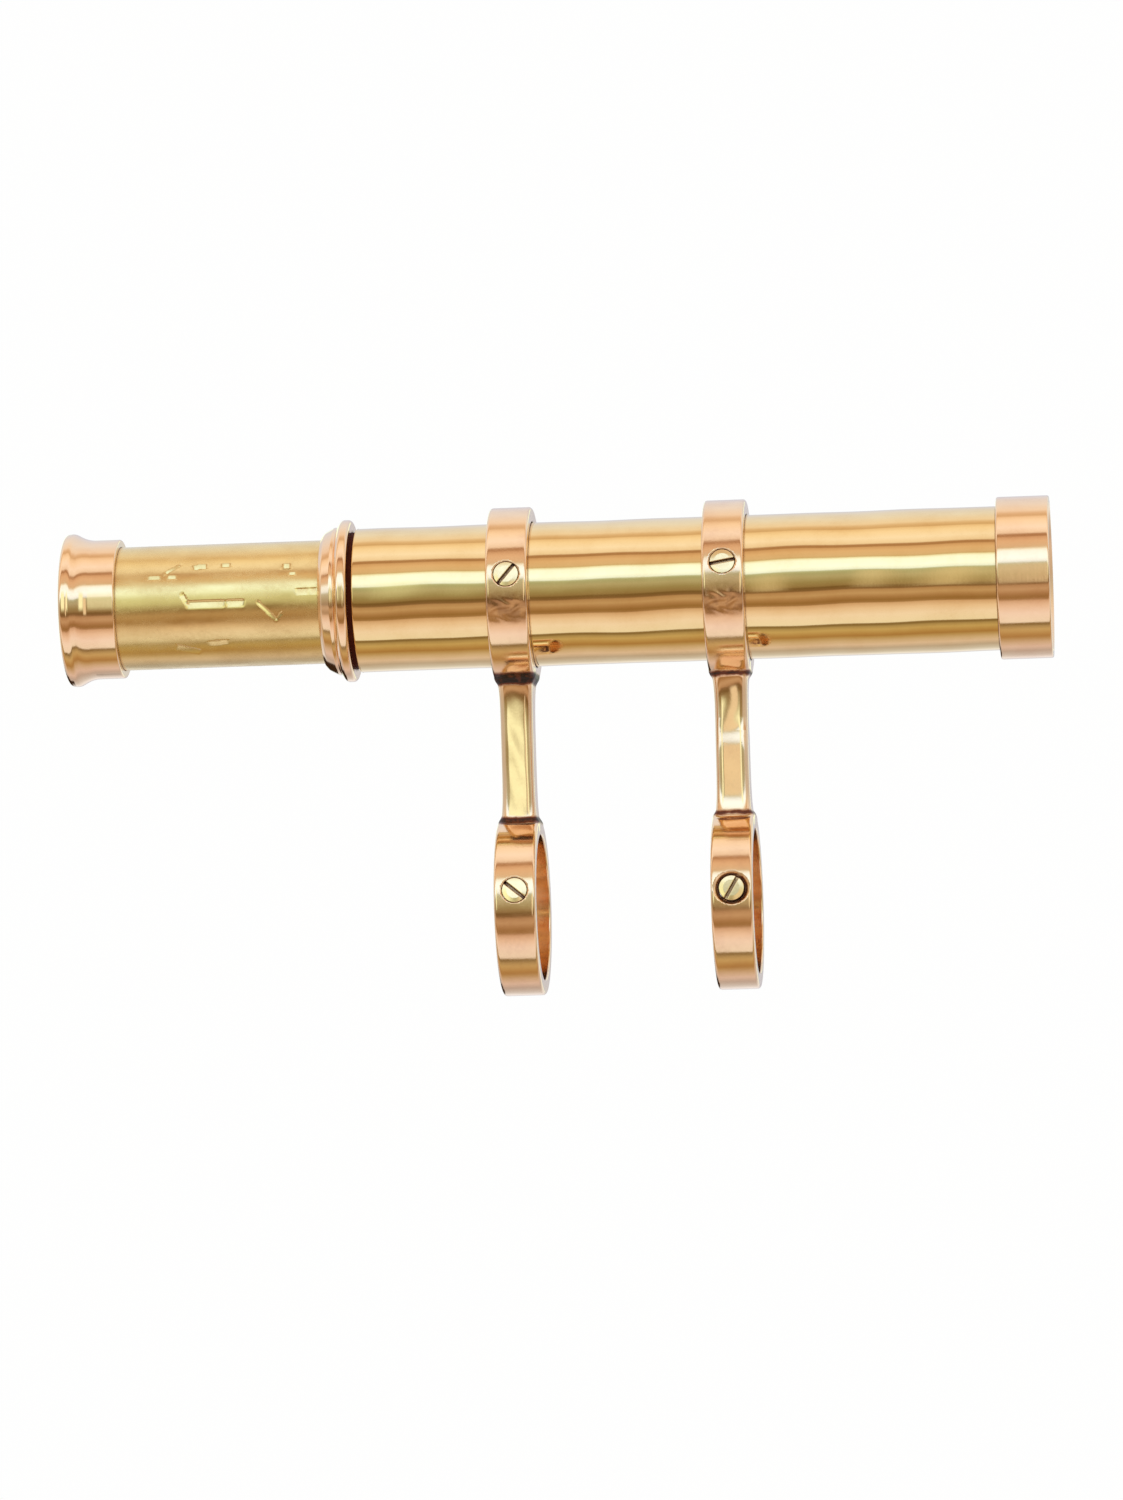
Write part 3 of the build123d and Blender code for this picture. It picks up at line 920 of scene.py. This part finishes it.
def make_studio():
    """White background. What the brass reflects is a ring of soft bands round the tube's axis, a
    plain pale gradient at each end, and lit and dark panels to the left and right."""
    # Degrees from straight ahead of the tube's near side, and the light that comes from there.
    below = [
        (-180, (0.60, 0.60, 0.66)),
        (-162, (0.97, 1.02, 1.12)),
        (-147, (0.68, 0.70, 0.78)),
        (-132, (0.56, 0.52, 0.55)),
        (-120, (0.78, 0.68, 0.70)),
        (-110, (0.68, 0.57, 0.48)),
        (-101, (0.52, 0.38, 0.20)),
        (-97, (0.44, 0.27, 0.11)),
        (-93, (0.50, 0.33, 0.14)),
        (-84, (0.62, 0.49, 0.25)),
        (-78, (0.46, 0.36, 0.19)),
        (-74.5, (0.25, 0.18, 0.08)),
        (-72, (0.34, 0.25, 0.12)),
        (-71, (0.95, 0.95, 0.95)),
        (-56, (0.99, 0.93, 0.98)),
        (-45, (0.90, 0.75, 0.68)),
        (-37, (0.70, 0.50, 0.38)),
        (-36, (0.40, 0.25, 0.13)),
        (-32, (0.34, 0.20, 0.08)),
        (-27, (0.45, 0.28, 0.15)),
        (-21, (0.60, 0.43, 0.28)),
        (-15, (0.50, 0.33, 0.20)),
        (-13.5, (0.26, 0.16, 0.08)),
        (-9, (0.20, 0.13, 0.05)),
        (-7, (0.32, 0.24, 0.12)),
        (0, (0.37, 0.33, 0.18)),
    ]
    above = [
        (0, (0.37, 0.33, 0.18)),
        (8, (0.50, 0.50, 0.36)),
        (14, (0.46, 0.52, 0.38)),
        (16.5, (0.55, 0.66, 0.55)),
        (18, (1.00, 1.30, 1.70)),
        (24, (1.20, 1.55, 2.00)),
        (34, (1.15, 1.45, 1.80)),
        (37, (1.02, 1.15, 1.10)),
        (38.5, (0.70, 0.58, 0.40)),
        (41, (0.80, 0.64, 0.48)),
        (49, (0.85, 0.63, 0.45)),
        (55, (0.72, 0.48, 0.32)),
        (56.5, (0.46, 0.27, 0.15)),
        (60, (0.50, 0.30, 0.18)),
        (62, (0.98, 0.88, 0.80)),
        (72, (1.10, 1.06, 1.08)),
        (85, (1.08, 0.96, 0.82)),
        (92, (0.95, 0.77, 0.58)),
        (94, (0.74, 0.54, 0.36)),
        (100, (0.84, 0.66, 0.50)),
        (106, (0.98, 0.90, 0.85)),
        (125, (0.92, 0.96, 1.08)),
        (150, (0.80, 0.86, 1.02)),
        (180, (0.60, 0.60, 0.66)),
    ]
    # At the ends the light only changes with height, the upward part of the direction.
    ends = [
        (-1.0, (0.60, 0.52, 0.46)),
        (-0.55, (0.82, 0.72, 0.66)),
        (-0.05, (0.62, 0.56, 0.50)),
        (0.05, (0.62, 0.60, 0.56)),
        (0.45, (0.92, 0.86, 0.78)),
        (1.0, (0.98, 0.98, 0.98)),
    ]
    world = bpy.data.worlds.new("studio")
    bpy.context.scene.world = world
    world.use_nodes = True
    tree = world.node_tree
    background = tree.nodes["Background"]

    def add(kind, inputs=(), **settings):
        node = tree.nodes.new(kind)
        for key, value in settings.items():
            setattr(node, key, value)
        for key, value in dict(inputs).items():
            if isinstance(value, bpy.types.NodeSocket):
                tree.links.new(value, node.inputs[key])
            else:
                node.inputs[key].default_value = value
        return node

    def ramp(value, stops):
        """Colours along a value, which runs from the first stop's place to the last one's."""
        first, last = stops[0][0], stops[-1][0]
        share = add("ShaderNodeMapRange", {"Value": value, 1: first, 2: last}).outputs[0]
        node = add("ShaderNodeValToRGB", {0: share})
        elements = node.color_ramp.elements
        elements.remove(elements[1])
        elements[0].position = 0.0
        elements[0].color = (*stops[0][1], 1)
        for place, light in stops[1:]:
            elements.new((place - first) / (last - first)).color = (*light, 1)
        return node.outputs[0]

    def blend(factor, first, second):
        inputs = {0: factor, 6: first, 7: second}
        return add("ShaderNodeMix", inputs, data_type="RGBA").outputs[2]

    def degrees(operation, a, b=None):
        inputs = {0: a} if b is None else {0: a, 1: b}
        radians = add("ShaderNodeMath", inputs, operation=operation).outputs[0]
        return add("ShaderNodeMath", {0: radians}, operation="DEGREES").outputs[0]

    def within(value, low, high, soft):
        """1 between two numbers, falling to 0 over soft outside them."""
        rising = add("ShaderNodeMapRange", {"Value": value, 1: low - soft, 2: low}).outputs[0]
        falling = add("ShaderNodeMapRange", {"Value": value, 1: high + soft, 2: high}).outputs[0]
        return add("ShaderNodeMath", {0: rising, 1: falling}, operation="MULTIPLY").outputs[0]

    direction = add("ShaderNodeTexCoord").outputs["Generated"]
    x, y, z = add("ShaderNodeSeparateXYZ", {0: direction}).outputs
    ahead = add("ShaderNodeMath", {0: y, 1: -1.0}, operation="MULTIPLY").outputs[0]
    turn = degrees("ARCTAN2", z, ahead)
    upper = add("ShaderNodeMath", {0: z, 1: 0.0}, operation="GREATER_THAN").outputs[0]
    seen = blend(upper, ramp(turn, below), ramp(turn, above))

    endwise = add("ShaderNodeMath", {0: x}, operation="ABSOLUTE").outputs[0]
    ends_from, ends_to = 0.84, 0.97
    share = add("ShaderNodeMapRange", {"Value": endwise, 1: ends_from, 2: ends_to}).outputs[0]
    seen = blend(share, seen, ramp(z, ends))

    # Panels: the directions they span, from -Y towards +X, and their heights, in degrees, then the
    # softness of their edges and their light. The flat faces of the stems mirror them.
    aside = degrees("ARCTAN2", x, ahead)
    height = degrees("ARCSINE", z)
    bright, tan, dark = (1.15, 1.35, 1.05), (0.93, 0.86, 0.66), (0.04, 0.02, 0.01)
    panels = [
        ((-22, -13), (1, 20), 7, bright),
        ((0, 8), (-10, 14), 3, tan),
        ((14, 24), (1, 20), 7, bright),
        ((-167, -152), (-3, 15), 5, bright),
        ((152, 167), (-3, 15), 5, bright),
        ((-166, -146), (-38, -3), 4, dark),
    ]
    for sides, rises, soft, light in panels:
        across = within(aside, *sides, soft)
        upright = within(height, *rises, soft)
        lit = add("ShaderNodeMath", {0: across, 1: upright}, operation="MULTIPLY").outputs[0]
        seen = blend(lit, seen, (*light, 1))

    camera_ray = add("ShaderNodeLightPath").outputs["Is Camera Ray"]
    shown = blend(camera_ray, seen, (0.995, 0.995, 0.992, 1))
    tree.links.new(shown, background.inputs["Color"])
    background.inputs["Strength"].default_value = 1.0


def make_key_light():
    """One large soft light high on the near side, for the floor's shadow and the screws' slots."""
    light = bpy.data.lights.new("key", "AREA")
    light.shape = "DISK"
    light.size = 0.9
    light.energy = 9.0
    lamp = bpy.data.objects.new("key", light)
    bpy.context.scene.collection.objects.link(lamp)
    lamp.location = (-0.4, -0.9, 1.3)
    lamp.rotation_euler = (Vector((0, 0, 0)) - lamp.location).to_track_quat("-Z", "Y").to_euler()
    lamp.visible_glossy = False


def make_camera():
    """A long lens from a little below the tube and a little towards the sky end, as the object was
    seen, rolled so that the tube's sky end lies higher."""
    data = bpy.data.cameras.new("camera")
    camera = bpy.data.objects.new("camera", data)
    bpy.context.scene.collection.objects.link(camera)
    middle = (cad_low + cad_high) / 2
    azimuth, elevation, roll = (math.radians(angle) for angle in (5.2, -3.3, 1.6))
    distance = 1.045
    back = Vector(
        (
            math.sin(azimuth) * math.cos(elevation),
            -math.cos(azimuth) * math.cos(elevation),
            math.sin(elevation),
        )
    )
    camera.location = middle + back * distance
    facing = (-back).to_track_quat("-Z", "Y").to_matrix()
    camera.rotation_euler = (facing @ Matrix.Rotation(-roll, 3, "Z")).to_euler()
    image_width, image_height = 1123, 1500
    filled = 0.88  # the object's share of the image's width
    frame_width = (cad_high.x - cad_low.x) / filled
    frame_height = frame_width * image_height / image_width
    data.sensor_width = 36
    data.lens = data.sensor_width * distance / frame_height
    data.clip_start, data.clip_end = 0.05, 20
    bpy.context.scene.camera = camera


make_floor()
make_studio()
make_key_light()
make_camera()
bpy.context.scene.view_settings.view_transform = "Standard"

bpy.context.view_layer.update()
